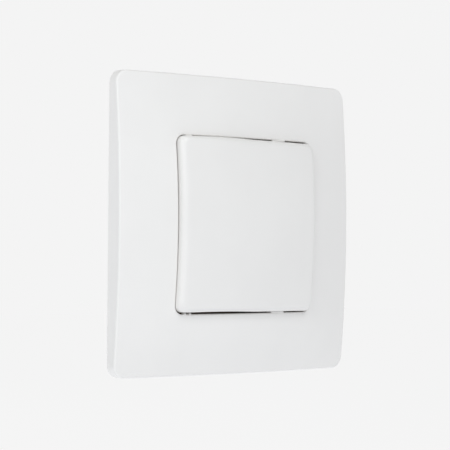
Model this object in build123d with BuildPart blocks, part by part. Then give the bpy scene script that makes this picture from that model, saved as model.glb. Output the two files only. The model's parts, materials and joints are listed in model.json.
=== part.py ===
from build123d import *
import os
from math import radians, tan

# Flat surface-mounted wireless light switch with one rocker, a coin cell and a radio board.
# Frame: X to the right, Z up, the wall is the plane y = 0 and the front looks along -Y.
# All sizes are millimetres, and a height is a distance in front of the wall.

# Trim plate, a pillow-shaped square with a square window
PLATE = 82.0
PLATE_CORNER = 3.5
PLATE_WALL = 1.8
PLATE_EDGE = 0.6
CORNER_HEIGHT = 3.0
RISE_ACROSS = 2.6
RISE_UPRIGHT = 2.2
RISE_CENTRE = 3.1
WINDOW = 48.4
WINDOW_CORNER = 2.6
WINDOW_EDGE = 0.3
RIM_WALL = 1.3

# Rocker, a crowned square cap that tilts on two side pins
ROCKER_GAP = 0.4
ROCKER_PROUD = 2.1
ROCKER_WALL = 1.6
ROCKER_SKIRT = 1.4
ROCKER_EDGE = 1.5
ROCKER_TILT = 2.0
PIVOT_HEIGHT = 6.4
PIVOT_PIN = 2.4
PIVOT_PIN_CHAMFER = 0.3

# Mounting base, screwed or stuck to the wall
BASE_CORNER = 8.0
BASE_FLOOR = 1.6
BASE_EDGE = 0.4
BASE_INSET = 1.2
WALL_SCREW_SPACING = 60.0
SLOT_LENGTH = 6.0
SLOT_WIDTH = 4.2
SLOT_SEAT_MARGIN = 2.0
SLOT_SEAT_DEPTH = 0.4
CURB_WIDTH = 1.0
CURB_HEIGHT = 0.7

# Adhesive foam pads let into the back of the base
PAD_WIDTH = 9.0
PAD_HEIGHT = 22.0
PAD_THICKNESS = 0.8
PAD_CORNER = 1.5
PAD_EDGE_MARGIN = 2.4
PAD_FROM_MIDDLE = 7.0
PAD_CLEARANCE = 0.15

# Carrier, the housing under the rocker
CARRIER_SIDE_ROOM = 0.55
CARRIER_HEIGHT_ROOM = 1.75
CARRIER_CORNER = 5.0
CARRIER_WALL = 1.4
CARRIER_ROOF = 1.1
CARRIER_EDGE = 0.3
FLANGE_LIFT = 1.0
FLANGE_THICKNESS = 1.2
FLANGE_MARGIN = 0.8
POST_DIAMETER = 2.0
POST_MARGIN = 2.3

# Snap tongues that hold the plate, let into the window's wall
RIGHT_TONGUE_X = 11.2
RIGHT_TONGUE_WIDTH = 4.6
LEFT_TONGUE_X = -20.1
LEFT_TONGUE_WIDTH = 2.2
TONGUE_THICKNESS = 0.4
TONGUE_LET_IN = 0.45
BARB_HEIGHT = 0.8
BARB_DEPTH = 0.35

# Lugs on the window's wall that stand in the gap in front of the tongues
LUG_PLAY = 0.1
THIN_LUG = 0.11
LUG_SINK = 0.1
LUG_FORK_WIDTH = 1.05

# Housing screws
SCREW_X = 20.0
SCREW_SHANK = 2.0
SCREW_HEAD = 4.0
SCREW_HEAD_HEIGHT = 1.2
SCREW_HEAD_CHAMFER = 0.4
SCREW_POINT = 0.6
SCREW_DRIVE_LENGTH = 2.4
SCREW_DRIVE_WIDTH = 0.6
SCREW_DRIVE_DEPTH = 0.6
SCREW_ENGAGEMENT = 1.8
BOSS_WALL = 1.5

# Circuit board and its seat
BOARD_THICKNESS = 1.0
BOARD_RIB_HEIGHT = 0.8
BOARD_RIB_WIDTH = 1.4
BOARD_RIB_LENGTH = 28.0
BOARD_RIB_X = 13.0
BOARD_PIN = 1.8
BOARD_PIN_X = 17.0
BOARD_PIN_Z = 11.0

# Coin cell, its well and its contacts
CELL_DIAMETER = 20.0
CELL_THICKNESS = 2.5
CELL_CAP_DIAMETER = 17.6
CELL_CAP_STEP = 0.25
CELL_EDGE = 0.3
CELL_LIFT = 0.5
WELL_WALL = 0.9
WELL_OPENING_ANGLE = 50.0
CONTACT_SHEET = 0.3
CONTACT_BAND_ANGLE = 35.0
CONTACT_TAB_ANGLE = 16.0
CONTACT_LIP = 1.3
CONTACT_FOOT = 1.5
LEAF_SHEET = 0.2
LEAF_WIDTH = 4.0
LEAF_FOOT = 6.0
LEAF_REACH = 4.0
LEAF_CROWN = 0.8
LEAF_TAIL = 1.6
LEAF_TAIL_DROP = 0.15

# Tappets and return springs
TAPPET_Z = 15.0
TAPPET_STEM = 4.0
TAPPET_HEAD = 7.0
TAPPET_HEAD_HEIGHT = 0.8
TAPPET_CROWN = 0.25
TAPPET_BARB = 0.3
TAPPET_BARB_HEIGHT = 0.45
TAPPET_SLOT = 0.8
TAPPET_SLOT_DEPTH = 1.6
TAPPET_BEARING = 0.25
SLEEVE_WALL = 1.1
SPRING_WIRE = 0.35
SPRING_DIAMETER = 5.9
SPRING_TURNS = 2.5
SPRING_POCKET_DEPTH = 0.6
SPRING_POCKET_ROOM = 0.5

# Tact switches
TACT_BODY = 5.2
TACT_BODY_HEIGHT = 1.2
TACT_EDGE = 0.3
TACT_STEM = 2.6
TACT_STEM_HEIGHT = 0.4
TACT_LEG_LENGTH = 0.8
TACT_LEG_WIDTH = 0.7
TACT_LEG_SHEET = 0.2
TACT_LEG_SPREAD = 3.7

# Learn button
LEARN_X = 12.6
LEARN_Z = -13.5
LEARN_BUTTON = 2.8
LEARN_CHAMFER = 0.3
LEARN_FLANGE = 4.4
LEARN_FLANGE_HEIGHT = 0.6
LEARN_FOOT = 2.0
LEARN_SINK = 0.15
LEARN_STROKE = 0.3

# Radio module on the board, with its chip under a metal can
MODULE_WIDTH = 7.4
MODULE_LENGTH = 13.0
MODULE_THICKNESS = 0.8
MODULE_X = -15.7
MODULE_Z = 1.0
SHIELD_MARGIN = 0.7
SHIELD_END_MARGIN = 2.0
SHIELD_HEIGHT = 1.6
SHIELD_SHEET = 0.2
SHIELD_EDGE = 0.35
CHIP_SIDE = 4.0
CHIP_HEIGHT = 0.9

# Small parts on the board
SMALL_PART_EDGE = 0.12
ANTENNA_LENGTH = 8.0
ANTENNA_WIDTH = 2.0
ANTENNA_HEIGHT = 1.0
ANTENNA_X = -10.5
ANTENNA_Z = 16.6
CRYSTAL_LENGTH = 5.0
CRYSTAL_WIDTH = 3.2
CRYSTAL_HEIGHT = 0.8
CRYSTAL_X = -12.4
CRYSTAL_Z = -12.2
CAPACITOR_LENGTH = 2.0
CAPACITOR_WIDTH = 1.25
CAPACITOR_HEIGHT = 0.9
CAPACITOR_COUNT = 4
CAPACITOR_PITCH = 2.4
CAPACITOR_X = -9.8
CAPACITOR_Z = -16.6
RESISTOR_LENGTH = 1.6
RESISTOR_WIDTH = 0.8
RESISTOR_HEIGHT = 0.45
RESISTOR_COUNT = 5
RESISTOR_PITCH = 1.8
RESISTOR_X = 9.4
RESISTOR_Z = 16.6
LED_LENGTH = 2.2
LED_WIDTH = 1.6
LED_HEIGHT = 0.5
LED_LENS = 1.3
LED_LENS_HEIGHT = 0.45
LED_X = 13.5
LED_Z = 12.5
LED_WINDOW = 2.4

# Clearances
RUNNING_FIT = 0.05
SEAT_GAP = 0.05
LOOSE_FIT = 0.1
SKIRT_CLEARANCE = 0.3
PIN_END_GAP = 0.3
BOARD_CLEARANCE = 0.3
CURB_CLEARANCE = 0.15
WELL_CLEARANCE = 0.3
TONGUE_PLATE_GAP = 0.06
TAPPET_TOUCH_GAP = 0.03
CONTACT_GAP = 0.05
SPRING_END_GAP = 0.02
SCREW_COVER_GAP = 0.3
ROOF_ROOM = 0.2

# Helper values that no piece shows
PATCH_REACH = 1.1
LEAST_CORNER = 0.3
BEVEL_ANGLE = 45
FRONT = (0, -1, 0)

# Sizes worked out from those above
rocker_size = WINDOW - 2 * ROCKER_GAP
rocker_corner = WINDOW_CORNER - ROCKER_GAP
rocker_edge = min(ROCKER_EDGE, 0.9 * rocker_corner)
rocker_inside = rocker_size - 2 * ROCKER_SKIRT
pin_root = (rocker_inside + ROCKER_SKIRT) / 2
pin_length = ROCKER_SKIRT / 2 + CARRIER_SIDE_ROOM + CARRIER_WALL - PIN_END_GAP
rim_size = WINDOW + 2 * RIM_WALL
carrier_x = rocker_inside - 2 * CARRIER_SIDE_ROOM
carrier_z = rocker_inside - 2 * CARRIER_HEIGHT_ROOM
chamber_x = carrier_x - 2 * CARRIER_WALL
chamber_z = carrier_z - 2 * CARRIER_WALL
chamber_corner = max(CARRIER_CORNER - CARRIER_WALL, LEAST_CORNER)
board_x = chamber_x - 2 * BOARD_CLEARANCE
board_z = chamber_z - 2 * BOARD_CLEARANCE
post_x = board_x / 2 - POST_MARGIN
post_z = board_z / 2 - POST_MARGIN
well_bore = CELL_DIAMETER + 2 * WELL_CLEARANCE
band_inner = CELL_DIAMETER / 2 + CONTACT_GAP
band_outer = band_inner + CONTACT_SHEET
base_size = PLATE - 2 * (PLATE_WALL + BASE_INSET)
rocker_travel = rocker_size / 2 * tan(radians(ROCKER_TILT))
tappet_travel = TAPPET_Z * tan(radians(ROCKER_TILT))
overall_depth = CORNER_HEIGHT + RISE_ACROSS + RISE_UPRIGHT + RISE_CENTRE + ROCKER_PROUD

# Heights in front of the wall, from the back to the front
board_back = BASE_FLOOR + BOARD_RIB_HEIGHT
board_front = board_back + BOARD_THICKNESS
flange_back = BASE_FLOOR + FLANGE_LIFT
flange_front = flange_back + FLANGE_THICKNESS
rim_back = flange_front + SEAT_GAP
skirt_back = flange_front + rocker_travel + SKIRT_CLEARANCE
cell_back = board_front + CELL_LIFT
cell_front = cell_back + CELL_THICKNESS
lip_back = cell_front + CONTACT_GAP
roof_back = lip_back + CONTACT_SHEET + ROOF_ROOM
carrier_front = roof_back + CARRIER_ROOF
spring_seat = carrier_front - SPRING_POCKET_DEPTH
tact_top = board_front + TACT_BODY_HEIGHT + TACT_STEM_HEIGHT
screw_tip = flange_back - SCREW_ENGAGEMENT
module_front = board_front + MODULE_THICKNESS
learn_bottom = tact_top + LEARN_STROKE + SEAT_GAP
learn_flange_front = roof_back - LOOSE_FIT
learn_flange_back = learn_flange_front - LEARN_FLANGE_HEIGHT
learn_top = carrier_front - LEARN_SINK

# Places of the screws and pads
screw_z = rim_size / 2 + SCREW_HEAD / 2 + LOOSE_FIT
flange_z = 2 * (screw_z + SCREW_HEAD / 2 + FLANGE_MARGIN)
boss_diameter = SCREW_SHANK + 2 * BOSS_WALL
pad_x = base_size / 2 - PAD_EDGE_MARGIN - PAD_WIDTH / 2
pad_z = PAD_FROM_MIDDLE + PAD_HEIGHT / 2


def pillow_height(x, z):
    """Height of the plate's pillow-shaped front at one place."""
    across = 1 - (2 * x / PLATE) ** 2
    upright = 1 - (2 * z / PLATE) ** 2
    return CORNER_HEIGHT + RISE_ACROSS * across + RISE_UPRIGHT * upright + RISE_CENTRE * across * upright


# The screws' heads, let into the flange where the cover is low
cover_back = pillow_height(SCREW_X + SCREW_HEAD / 2, screw_z + SCREW_HEAD / 2) - PLATE_WALL
screw_seat = min(flange_front, cover_back - SCREW_COVER_GAP - SCREW_HEAD_HEIGHT)
screw_top = screw_seat + SCREW_HEAD_HEIGHT

# The rocker's two bearing faces, and what rests on them
bearing_height = pillow_height(0, TAPPET_Z) + ROCKER_PROUD - ROCKER_WALL - TAPPET_BEARING
tappet_top = bearing_height - TAPPET_TOUCH_GAP
tappet_head_back = tappet_top - TAPPET_HEAD_HEIGHT
tappet_bottom = tact_top + tappet_travel + SEAT_GAP
sleeve_back = tappet_bottom + TAPPET_BARB_HEIGHT + tappet_travel + LOOSE_FIT
barb_back = (rim_back + pillow_height(WINDOW / 2, WINDOW / 2)) / 2
barb_front = barb_back + BARB_HEIGHT
tongue_seat = WINDOW / 2 + TONGUE_LET_IN
tongue_outer = tongue_seat - TONGUE_PLATE_GAP
tongue_inner = tongue_outer - TONGUE_THICKNESS
tongue_places = [(RIGHT_TONGUE_X, RIGHT_TONGUE_WIDTH), (LEFT_TONGUE_X, LEFT_TONGUE_WIDTH)]
tongues = [(x, side, width) for x, width in tongue_places for side in (1, -1)]

# Lugs as place, side, width and height off the wall, the lower left one forked in two
lug_back = barb_front + LOOSE_FIT
lug = ROCKER_GAP - LUG_PLAY
prong = (LEFT_TONGUE_WIDTH - LUG_FORK_WIDTH) / 2
prong_shift = (LUG_FORK_WIDTH + prong) / 2
lugs = [
    (RIGHT_TONGUE_X, 1, RIGHT_TONGUE_WIDTH, lug),
    (RIGHT_TONGUE_X, -1, RIGHT_TONGUE_WIDTH, lug),
    (LEFT_TONGUE_X, 1, LEFT_TONGUE_WIDTH, THIN_LUG),
    (LEFT_TONGUE_X - prong_shift, -1, prong, lug),
    (LEFT_TONGUE_X + prong_shift, -1, prong, lug),
]


def front(height):
    """Sketch plane parallel to the wall, drawn in X and Z."""
    return Plane(origin=(0, -height, 0), x_dir=(1, 0, 0), z_dir=FRONT)


def turned(x, z):
    """Sketch plane through a line square to the wall, drawn in radius and height."""
    return Plane(origin=(x, 0, z), x_dir=(1, 0, 0), z_dir=(0, 0, -1))


def upright(x):
    """Sketch plane square to X, drawn in Z and height."""
    return Plane(origin=(x, 0, 0), x_dir=(0, 0, 1), z_dir=(1, 0, 0))


def pillow(lift):
    """The plate's pillow surface, lifted towards the room, as one patch that reaches past the plate."""
    half = PATCH_REACH * PLATE / 2
    stations = (-half, 0, half)
    bow = (1 - PATCH_REACH**2, 1 + PATCH_REACH**2, 1 - PATCH_REACH**2)
    rows = []
    for x, across in zip(stations, bow):
        row = []
        for z, upward in zip(stations, bow):
            rise = RISE_ACROSS * across + RISE_UPRIGHT * upward + RISE_CENTRE * across * upward
            row.append((x, -(CORNER_HEIGHT + rise + lift), z))
        rows.append(row)
    return Face.make_bezier_surface(rows)


def pillow_block(back, lift, size, corner):
    """Rounded square block from a back height up to the lifted pillow surface."""
    with BuildSketch(front(back)) as outline:
        RectangleRounded(size, size, corner)
    extrude(outline.sketch, amount=2 * overall_depth)
    extrude(pillow(lift), amount=3 * overall_depth, dir=FRONT, mode=Mode.SUBTRACT)


def front_edges(part):
    """Edges round the face that lies furthest forward, its outer loop and its window apart."""
    face = part.faces().sort_by(Axis.Y)[0]
    return face.outer_wire().edges(), [edge for wire in face.inner_wires() for edge in wire.edges()]


def ring_sector(inner, outer, half_angle):
    """Sector of a ring about the origin, to both sides of +X."""
    with BuildLine() as outline:
        arc_in = CenterArc((0, 0), inner, -half_angle, 2 * half_angle)
        arc_out = CenterArc((0, 0), outer, -half_angle, 2 * half_angle)
        Line(arc_in @ 0, arc_out @ 0)
        Line(arc_in @ 1, arc_out @ 1)
    make_face(outline.edges())


def block(x, z, back, width, length, height):
    """Box on a face parallel to the wall, with its front edges bevelled."""
    shoulder = back + height - SMALL_PART_EDGE
    for start, amount, taper in ((back, shoulder - back, 0), (shoulder, SMALL_PART_EDGE, BEVEL_ANGLE)):
        with BuildSketch(front(start)) as outline:
            with Locations((x, z)):
                Rectangle(width, length)
        extrude(outline.sketch, amount=amount, taper=taper)


def tact_switch(x, z):
    """Low switch on the board: body, stem and four legs."""
    with BuildSketch(front(board_front)) as body:
        with Locations((x, z)):
            RectangleRounded(TACT_BODY, TACT_BODY, TACT_EDGE)
    extrude(body.sketch, amount=TACT_BODY_HEIGHT)
    with BuildSketch(front(board_front)) as stem:
        with Locations((x, z)):
            Circle(TACT_STEM / 2)
    extrude(stem.sketch, amount=TACT_BODY_HEIGHT + TACT_STEM_HEIGHT)
    with BuildSketch(front(board_front)) as legs:
        with Locations((x, z)):
            with GridLocations(0, TACT_LEG_SPREAD, 1, 2):
                Rectangle(TACT_BODY + 2 * TACT_LEG_LENGTH, TACT_LEG_WIDTH)
    extrude(legs.sketch, amount=TACT_LEG_SHEET)


def write(builder, name):
    """Labels a finished piece and writes it out."""
    builder.part.label = name
    export_step(builder.part, f"parts/{name}.step")


os.makedirs("parts", exist_ok=True)

# Trim plate: shell with a rim round its window, channels for the snap tongues and lugs over them
with BuildPart() as plate_cavity:
    pillow_block(0, -PLATE_WALL, PLATE - 2 * PLATE_WALL, max(PLATE_CORNER - PLATE_WALL, PLATE_EDGE))
    with BuildSketch(front(rim_back)):
        RectangleRounded(rim_size, rim_size, WINDOW_CORNER + RIM_WALL)
    extrude(amount=overall_depth, mode=Mode.SUBTRACT)

with BuildPart() as trim_plate:
    pillow_block(0, 0, PLATE, PLATE_CORNER)
    with BuildSketch(front(0)):
        RectangleRounded(WINDOW, WINDOW, WINDOW_CORNER)
    extrude(amount=overall_depth, mode=Mode.SUBTRACT)
    fillet(front_edges(trim_plate)[0], radius=PLATE_EDGE)
    fillet(front_edges(trim_plate)[1], radius=WINDOW_EDGE)
    add(plate_cavity.part, mode=Mode.SUBTRACT)
    for x, side, width in tongues:
        with BuildSketch(front(rim_back)):
            with Locations((x, side * WINDOW / 2)):
                Rectangle(width + 2 * LOOSE_FIT, 2 * TONGUE_LET_IN)
        extrude(amount=lug_back - rim_back, mode=Mode.SUBTRACT)
        with BuildSketch(front(barb_back - LOOSE_FIT)):
            with Locations((x, side * tongue_seat)):
                Rectangle(width + 2 * LOOSE_FIT, 2 * (BARB_DEPTH + LOOSE_FIT))
        extrude(amount=BARB_HEIGHT + 2 * LOOSE_FIT, mode=Mode.SUBTRACT)
    for x, side, width, height in lugs:
        with BuildSketch(front(lug_back)):
            with Locations((x, side * WINDOW / 2)):
                Rectangle(width, 2 * height)
        extrude(amount=pillow_height(x, WINDOW / 2) - LUG_SINK - lug_back)
write(trim_plate, "trim_plate")

# Rocker: crowned cap with side pins and two bearing faces for the tappets
with BuildPart() as rocker_cavity:
    inside_corner = max(rocker_corner - ROCKER_SKIRT, LEAST_CORNER)
    pillow_block(skirt_back, ROCKER_PROUD - ROCKER_WALL, rocker_inside, inside_corner)

with BuildPart() as rocker:
    pillow_block(skirt_back, ROCKER_PROUD, rocker_size, rocker_corner)
    fillet(front_edges(rocker)[0], radius=rocker_edge)
    add(rocker_cavity.part, mode=Mode.SUBTRACT)
    with BuildSketch(front(bearing_height)):
        with GridLocations(0, 2 * TAPPET_Z, 1, 2):
            Circle(TAPPET_HEAD / 2)
    extrude(amount=TAPPET_BEARING + ROCKER_WALL / 2)
    for side in (1, -1):
        with BuildSketch(Plane(origin=(side * pin_root, -PIVOT_HEIGHT, 0), z_dir=(-side, 0, 0))):
            Circle(PIVOT_PIN / 2)
        extrude(amount=pin_length)
    pin_ends = rocker.faces().filter_by(Axis.X).group_by(lambda face: round(abs(face.center().X), 3))[0]
    chamfer(pin_ends.edges(), length=PIVOT_PIN_CHAMFER)
write(rocker, "rocker")

# Mounting base: floor, curb round the carrier, screw bosses and the board's seat
with BuildPart() as mounting_base:
    with BuildSketch(front(0)):
        RectangleRounded(base_size, base_size, BASE_CORNER)
    extrude(amount=BASE_FLOOR)
    chamfer(mounting_base.faces().sort_by(Axis.Y)[-1].edges(), length=BASE_EDGE)
    with BuildSketch(front(BASE_FLOOR)):
        curb_growth = CURB_CLEARANCE + CURB_WIDTH
        RectangleRounded(
            carrier_x + 2 * curb_growth, carrier_z + 2 * curb_growth, CARRIER_CORNER + curb_growth
        )
        RectangleRounded(
            carrier_x + 2 * CURB_CLEARANCE,
            carrier_z + 2 * CURB_CLEARANCE,
            CARRIER_CORNER + CURB_CLEARANCE,
            mode=Mode.SUBTRACT,
        )
    extrude(amount=CURB_HEIGHT)
    with BuildSketch(front(BASE_FLOOR)):
        with GridLocations(2 * BOARD_RIB_X, 0, 2, 1):
            Rectangle(BOARD_RIB_WIDTH, BOARD_RIB_LENGTH)
    extrude(amount=BOARD_RIB_HEIGHT)
    with BuildSketch(front(BASE_FLOOR)):
        with Locations((BOARD_PIN_X, BOARD_PIN_Z), (-BOARD_PIN_X, -BOARD_PIN_Z)):
            Circle(BOARD_PIN / 2)
    extrude(amount=BOARD_RIB_HEIGHT + BOARD_THICKNESS)
    with BuildSketch(front(BASE_FLOOR)):
        with GridLocations(2 * SCREW_X, 2 * screw_z, 2, 2):
            Circle(boss_diameter / 2)
    extrude(amount=FLANGE_LIFT)
    with BuildSketch(front(screw_tip - LOOSE_FIT)):
        with GridLocations(2 * SCREW_X, 2 * screw_z, 2, 2):
            Circle(SCREW_SHANK / 2 + RUNNING_FIT)
    extrude(amount=SCREW_ENGAGEMENT + LOOSE_FIT, mode=Mode.SUBTRACT)
    with BuildSketch(front(0)):
        with GridLocations(WALL_SCREW_SPACING, 0, 2, 1):
            SlotOverall(SLOT_LENGTH, SLOT_WIDTH)
    extrude(amount=BASE_FLOOR, mode=Mode.SUBTRACT)
    with BuildSketch(front(BASE_FLOOR - SLOT_SEAT_DEPTH)):
        with GridLocations(WALL_SCREW_SPACING, 0, 2, 1):
            SlotOverall(SLOT_LENGTH + 2 * SLOT_SEAT_MARGIN, SLOT_WIDTH + 2 * SLOT_SEAT_MARGIN)
    extrude(amount=SLOT_SEAT_DEPTH, mode=Mode.SUBTRACT)
    with BuildSketch(front(0)):
        with GridLocations(2 * pad_x, 2 * pad_z, 2, 2):
            RectangleRounded(
                PAD_WIDTH + 2 * PAD_CLEARANCE, PAD_HEIGHT + 2 * PAD_CLEARANCE, PAD_CORNER + PAD_CLEARANCE
            )
    extrude(amount=PAD_THICKNESS, mode=Mode.SUBTRACT)
write(mounting_base, "mounting_base")

# Adhesive pads: four foam pads, flush with the back of the base
with BuildPart() as adhesive_pads:
    with BuildSketch(front(0)):
        with GridLocations(2 * pad_x, 2 * pad_z, 2, 2):
            RectangleRounded(PAD_WIDTH, PAD_HEIGHT, PAD_CORNER)
    extrude(amount=PAD_THICKNESS)
write(adhesive_pads, "adhesive_pads")

# Carrier: box with a flange, a cell well, tappet sleeves, pin bores and snap tongues
with BuildPart() as carrier:
    with BuildSketch(front(BASE_FLOOR)):
        RectangleRounded(carrier_x, carrier_z, CARRIER_CORNER)
    extrude(amount=carrier_front - BASE_FLOOR)
    fillet(front_edges(carrier)[0], radius=CARRIER_EDGE)
    with BuildSketch(front(flange_back)):
        RectangleRounded(rim_size, flange_z, CARRIER_CORNER)
    extrude(amount=FLANGE_THICKNESS)
    with BuildSketch(front(BASE_FLOOR)):
        RectangleRounded(chamber_x, chamber_z, chamber_corner)
    extrude(amount=roof_back - BASE_FLOOR, mode=Mode.SUBTRACT)

    # Well for the cell, open towards its side contact and through the roof
    with BuildSketch(front(board_front + LOOSE_FIT)):
        Circle(well_bore / 2 + WELL_WALL)
    extrude(amount=roof_back - board_front - LOOSE_FIT)
    with BuildSketch(front(board_front)):
        Circle(well_bore / 2)
    extrude(amount=carrier_front - board_front, mode=Mode.SUBTRACT)
    with BuildSketch(front(board_front)):
        ring_sector(CELL_DIAMETER / 4, well_bore / 2 + 2 * WELL_WALL, WELL_OPENING_ANGLE)
    extrude(amount=roof_back - board_front, mode=Mode.SUBTRACT)

    # Sleeves that guide the tappets, with pockets for their springs
    with BuildSketch(front(sleeve_back)):
        with GridLocations(0, 2 * TAPPET_Z, 1, 2):
            Circle(TAPPET_STEM / 2 + RUNNING_FIT + SLEEVE_WALL)
    extrude(amount=roof_back - sleeve_back)
    with BuildSketch(front(sleeve_back)):
        with GridLocations(0, 2 * TAPPET_Z, 1, 2):
            Circle(TAPPET_STEM / 2 + RUNNING_FIT)
    extrude(amount=carrier_front - sleeve_back, mode=Mode.SUBTRACT)
    with BuildSketch(front(spring_seat)):
        with GridLocations(0, 2 * TAPPET_Z, 1, 2):
            Circle((SPRING_DIAMETER + SPRING_POCKET_ROOM) / 2)
    extrude(amount=SPRING_POCKET_DEPTH, mode=Mode.SUBTRACT)

    # Posts that hold the board down, and the openings for the learn button and the light
    with BuildSketch(front(board_front + SEAT_GAP)):
        with GridLocations(2 * post_x, 2 * post_z, 2, 2):
            Circle(POST_DIAMETER / 2)
    extrude(amount=roof_back - board_front - SEAT_GAP)
    with BuildSketch(front(roof_back)):
        with Locations((LEARN_X, LEARN_Z)):
            Circle(LEARN_BUTTON / 2 + RUNNING_FIT)
        with Locations((LED_X, LED_Z)):
            Circle(LED_WINDOW / 2)
    extrude(amount=CARRIER_ROOF, mode=Mode.SUBTRACT)

    # Bores for the rocker's pins, and seats for the housing screws
    for side in (1, -1):
        with BuildSketch(Plane(origin=(side * carrier_x / 2, -PIVOT_HEIGHT, 0), z_dir=(-side, 0, 0))):
            Circle(PIVOT_PIN / 2 + RUNNING_FIT)
        extrude(amount=CARRIER_WALL, mode=Mode.SUBTRACT)
    with BuildSketch(front(flange_back)):
        with GridLocations(2 * SCREW_X, 2 * screw_z, 2, 2):
            Circle(SCREW_SHANK / 2 + LOOSE_FIT)
    extrude(amount=FLANGE_THICKNESS, mode=Mode.SUBTRACT)
    with BuildSketch(front(screw_seat)):
        with GridLocations(2 * SCREW_X, 2 * screw_z, 2, 2):
            Circle(SCREW_HEAD / 2 + LOOSE_FIT)
    extrude(amount=SCREW_HEAD_HEIGHT, mode=Mode.SUBTRACT)

    # Snap tongues beside the window, with a barb each
    for x, side, width in tongues:
        with BuildSketch(upright(x)):
            with BuildLine():
                Polyline(
                    (side * tongue_inner, flange_back),
                    (side * tongue_outer, flange_back),
                    (side * tongue_outer, barb_back),
                    (side * (tongue_outer + BARB_DEPTH), barb_back),
                    (side * tongue_outer, barb_front),
                    (side * tongue_inner, barb_front),
                    close=True,
                )
            make_face()
        extrude(amount=width / 2, both=True)
write(carrier, "carrier")

# Housing screws: four pan heads with a cross drive
with BuildPart() as housing_screws:
    for x in (-SCREW_X, SCREW_X):
        for z in (-screw_z, screw_z):
            with BuildSketch(turned(x, z)):
                with BuildLine():
                    Polyline(
                        (0, screw_tip),
                        (SCREW_SHANK / 2, screw_tip + SCREW_POINT),
                        (SCREW_SHANK / 2, screw_seat),
                        (SCREW_HEAD / 2, screw_seat),
                        (SCREW_HEAD / 2, screw_top - SCREW_HEAD_CHAMFER),
                        (SCREW_HEAD / 2 - SCREW_HEAD_CHAMFER, screw_top),
                        (0, screw_top),
                        close=True,
                    )
                make_face()
            revolve(axis=Axis((x, 0, z), FRONT))
    with BuildSketch(front(screw_top - SCREW_DRIVE_DEPTH)):
        with GridLocations(2 * SCREW_X, 2 * screw_z, 2, 2):
            Rectangle(SCREW_DRIVE_LENGTH, SCREW_DRIVE_WIDTH)
            Rectangle(SCREW_DRIVE_WIDTH, SCREW_DRIVE_LENGTH)
    extrude(amount=SCREW_DRIVE_DEPTH, mode=Mode.SUBTRACT)
write(housing_screws, "housing_screws")

# Circuit board on the ribs and pins of the base
with BuildPart() as circuit_board:
    with BuildSketch(front(board_back)):
        RectangleRounded(board_x, board_z, max(chamber_corner - BOARD_CLEARANCE, LEAST_CORNER))
        with Locations((BOARD_PIN_X, BOARD_PIN_Z), (-BOARD_PIN_X, -BOARD_PIN_Z)):
            Circle(BOARD_PIN / 2 + LOOSE_FIT, mode=Mode.SUBTRACT)
    extrude(amount=BOARD_THICKNESS)
write(circuit_board, "circuit_board")

# Coin cell, its can towards the room and its smaller cap towards the board
with BuildPart() as coin_cell:
    with BuildSketch(turned(0, 0)):
        with BuildLine():
            Polyline(
                (0, cell_back),
                (CELL_CAP_DIAMETER / 2, cell_back),
                (CELL_CAP_DIAMETER / 2, cell_back + CELL_CAP_STEP),
                (CELL_DIAMETER / 2 - CELL_EDGE, cell_back + CELL_CAP_STEP),
                (CELL_DIAMETER / 2, cell_back + CELL_CAP_STEP + CELL_EDGE),
                (CELL_DIAMETER / 2, cell_front - CELL_EDGE),
                (CELL_DIAMETER / 2 - CELL_EDGE, cell_front),
                (0, cell_front),
                close=True,
            )
        make_face()
    revolve(axis=Axis((0, 0, 0), FRONT))
write(coin_cell, "coin_cell")

# Positive contact: band round the cell's side, with a lip over its edge and a foot on the board
with BuildPart() as positive_contact:
    with BuildSketch(front(board_front)):
        ring_sector(band_inner, band_outer, CONTACT_BAND_ANGLE)
    extrude(amount=lip_back + CONTACT_SHEET - board_front)
    with BuildSketch(front(lip_back)):
        ring_sector(CELL_DIAMETER / 2 - CONTACT_LIP, band_outer, CONTACT_TAB_ANGLE)
    extrude(amount=CONTACT_SHEET)
    with BuildSketch(front(board_front)):
        ring_sector(band_inner, band_outer + CONTACT_FOOT, CONTACT_TAB_ANGLE)
    extrude(amount=CONTACT_SHEET)
write(positive_contact, "positive_contact")

# Negative contact: bent leaf that stands on the board and presses on the cell's cap
with BuildPart() as negative_contact:
    crown_start = LEAF_REACH
    crown_end = crown_start + LEAF_CROWN
    tail_end = crown_end + LEAF_TAIL
    with BuildSketch(turned(0, 0)):
        with BuildLine():
            Polyline(
                (-LEAF_FOOT, board_front),
                (0, board_front),
                (crown_start, cell_back - LEAF_SHEET),
                (crown_end, cell_back - LEAF_SHEET),
                (tail_end, cell_back - LEAF_SHEET - LEAF_TAIL_DROP),
                (tail_end, cell_back - LEAF_TAIL_DROP),
                (crown_end, cell_back),
                (crown_start, cell_back),
                (0, board_front + LEAF_SHEET),
                (-LEAF_FOOT, board_front + LEAF_SHEET),
                close=True,
            )
        make_face()
    extrude(amount=LEAF_WIDTH / 2, both=True)
write(negative_contact, "negative_contact")

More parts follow.
